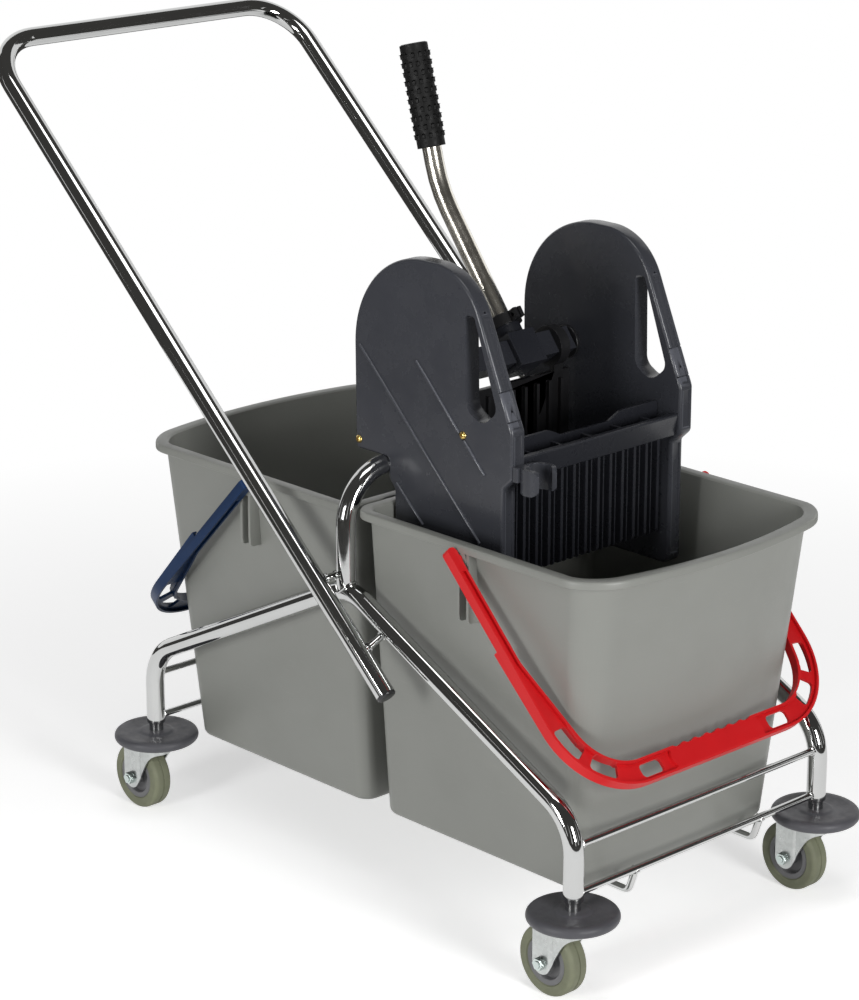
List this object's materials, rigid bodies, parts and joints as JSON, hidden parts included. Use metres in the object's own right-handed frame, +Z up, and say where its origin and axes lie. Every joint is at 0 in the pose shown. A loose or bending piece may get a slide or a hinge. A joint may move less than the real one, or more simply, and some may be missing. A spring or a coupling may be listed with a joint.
{
  "type": "double mop bucket trolley",
  "caption": "Wheeled tube-frame trolley that carries twin mop buckets with bails and a lever press wringer hung over the front bucket.",
  "frame": {"origin": "on the floor, under the middle of the trolley's bounding box", "axes": "+X along the trolley to the front bucket, +Y to the far side, +Z up"},
  "size_m": [0.9941, 0.49, 0.9269],
  "materials": {
    "chrome_tube": "polished",
    "zinc_steel": "satin",
    "disc_rubber": "satin",
    "hub_plastic": "matte",
    "tyre": "matte",
    "bucket_plastic": "satin",
    "red_plastic": "satin",
    "blue_plastic": "satin",
    "wringer_plastic": "satin",
    "black_plastic": "satin",
    "brass": "satin",
    "grip_rubber": "matte"
  },
  "bodies": {
    "frame": {"side_tube_near": "chrome_tube", "side_tube_far": "chrome_tube", "hoop": "chrome_tube", "front_upper_rung": "chrome_tube", "front_lower_rung": "chrome_tube", "rear_upper_rung": "chrome_tube", "rear_lower_rung": "chrome_tube", "carrying_rod_near": "chrome_tube", "carrying_rod_far": "chrome_tube", "push_handle": "chrome_tube", "handle_stubs": "chrome_tube", "handle_end_plugs": "black_plastic", "castor_stems": "zinc_steel", "bumper_discs": "disc_rubber"},
    "castor_front_near": {"fork_front_near": "zinc_steel", "axle_front_near": "zinc_steel"},
    "wheel_front_near": {"hub_front_near": "hub_plastic", "tyre_front_near": "tyre"},
    "castor_front_far": {"fork_front_far": "zinc_steel", "axle_front_far": "zinc_steel"},
    "wheel_front_far": {"hub_front_far": "hub_plastic", "tyre_front_far": "tyre"},
    "castor_rear_near": {"fork_rear_near": "zinc_steel", "axle_rear_near": "zinc_steel"},
    "wheel_rear_near": {"hub_rear_near": "hub_plastic", "tyre_rear_near": "tyre"},
    "castor_rear_far": {"fork_rear_far": "zinc_steel", "axle_rear_far": "zinc_steel"},
    "wheel_rear_far": {"hub_rear_far": "hub_plastic", "tyre_rear_far": "tyre"},
    "front_bucket": {"bucket_front": "bucket_plastic"},
    "front_bail": {"bail_front": "red_plastic"},
    "rear_bucket": {"bucket_rear": "bucket_plastic"},
    "rear_bail": {"bail_rear": "blue_plastic"},
    "wringer": {"cheek_near": "wringer_plastic", "cheek_far": "wringer_plastic", "cheek_screws": "brass", "front_bar": "wringer_plastic", "front_grille": "wringer_plastic", "wringer_floor": "wringer_plastic", "rear_wall": "wringer_plastic", "pole_clip": "wringer_plastic", "shaft_bushes": "black_plastic"},
    "press_lever": {"press_shaft": "black_plastic", "press_plate": "black_plastic", "lever_socket": "black_plastic", "lever_collar": "black_plastic", "lever_tube": "chrome_tube", "lever_grip": "grip_rubber"}
  },
  "joints": [
    {"name": "swivel_front_near", "type": "hinge", "parent": "frame", "child": "castor_front_near", "pos_m": [0.447, -0.195, 0.09], "axis": [0, 0, 1], "continuous": true},
    {"name": "roll_front_near", "type": "hinge", "parent": "castor_front_near", "child": "wheel_front_near", "pos_m": [0.419, -0.195, 0.04], "axis": [0, 1, 0], "continuous": true},
    {"name": "swivel_front_far", "type": "hinge", "parent": "frame", "child": "castor_front_far", "pos_m": [0.447, 0.195, 0.09], "axis": [0, 0, 1], "continuous": true},
    {"name": "roll_front_far", "type": "hinge", "parent": "castor_front_far", "child": "wheel_front_far", "pos_m": [0.419, 0.195, 0.04], "axis": [0, 1, 0], "continuous": true},
    {"name": "swivel_rear_near", "type": "hinge", "parent": "frame", "child": "castor_rear_near", "pos_m": [-0.245, -0.195, 0.09], "axis": [0, 0, 1], "continuous": true},
    {"name": "roll_rear_near", "type": "hinge", "parent": "castor_rear_near", "child": "wheel_rear_near", "pos_m": [-0.273, -0.195, 0.04], "axis": [0, 1, 0], "continuous": true},
    {"name": "swivel_rear_far", "type": "hinge", "parent": "frame", "child": "castor_rear_far", "pos_m": [-0.245, 0.195, 0.09], "axis": [0, 0, 1], "continuous": true},
    {"name": "roll_rear_far", "type": "hinge", "parent": "castor_rear_far", "child": "wheel_rear_far", "pos_m": [-0.273, 0.195, 0.04], "axis": [0, 1, 0], "continuous": true},
    {"name": "front_bucket_lift", "type": "slide", "parent": "frame", "child": "front_bucket", "axis": [0.3387, 0, 0.9409], "range_m": [0, 0.3]},
    {"name": "rear_bucket_lift", "type": "slide", "parent": "frame", "child": "rear_bucket", "axis": [-0.342, 0, 0.9397], "range_m": [0, 0.03]},
    {"name": "front_bail_swing", "type": "hinge", "parent": "front_bucket", "child": "front_bail", "pos_m": [0.269, 0, 0.44505], "axis": [0, -1, 0], "range_deg": [0, 118]},
    {"name": "rear_bail_swing", "type": "hinge", "parent": "rear_bucket", "child": "rear_bail", "pos_m": [-0.075, 0, 0.44505], "axis": [0, 1, 0], "range_deg": [0, 130]},
    {"name": "wringer_lift", "type": "slide", "parent": "front_bucket", "child": "wringer", "axis": [0, 0, 1], "range_m": [0, 0.2]},
    {"name": "press_swing", "type": "hinge", "parent": "wringer", "child": "press_lever", "pos_m": [0.123, 0, 0.59705], "axis": [0, -1, 0], "range_deg": [0, 42]}
  ]
}
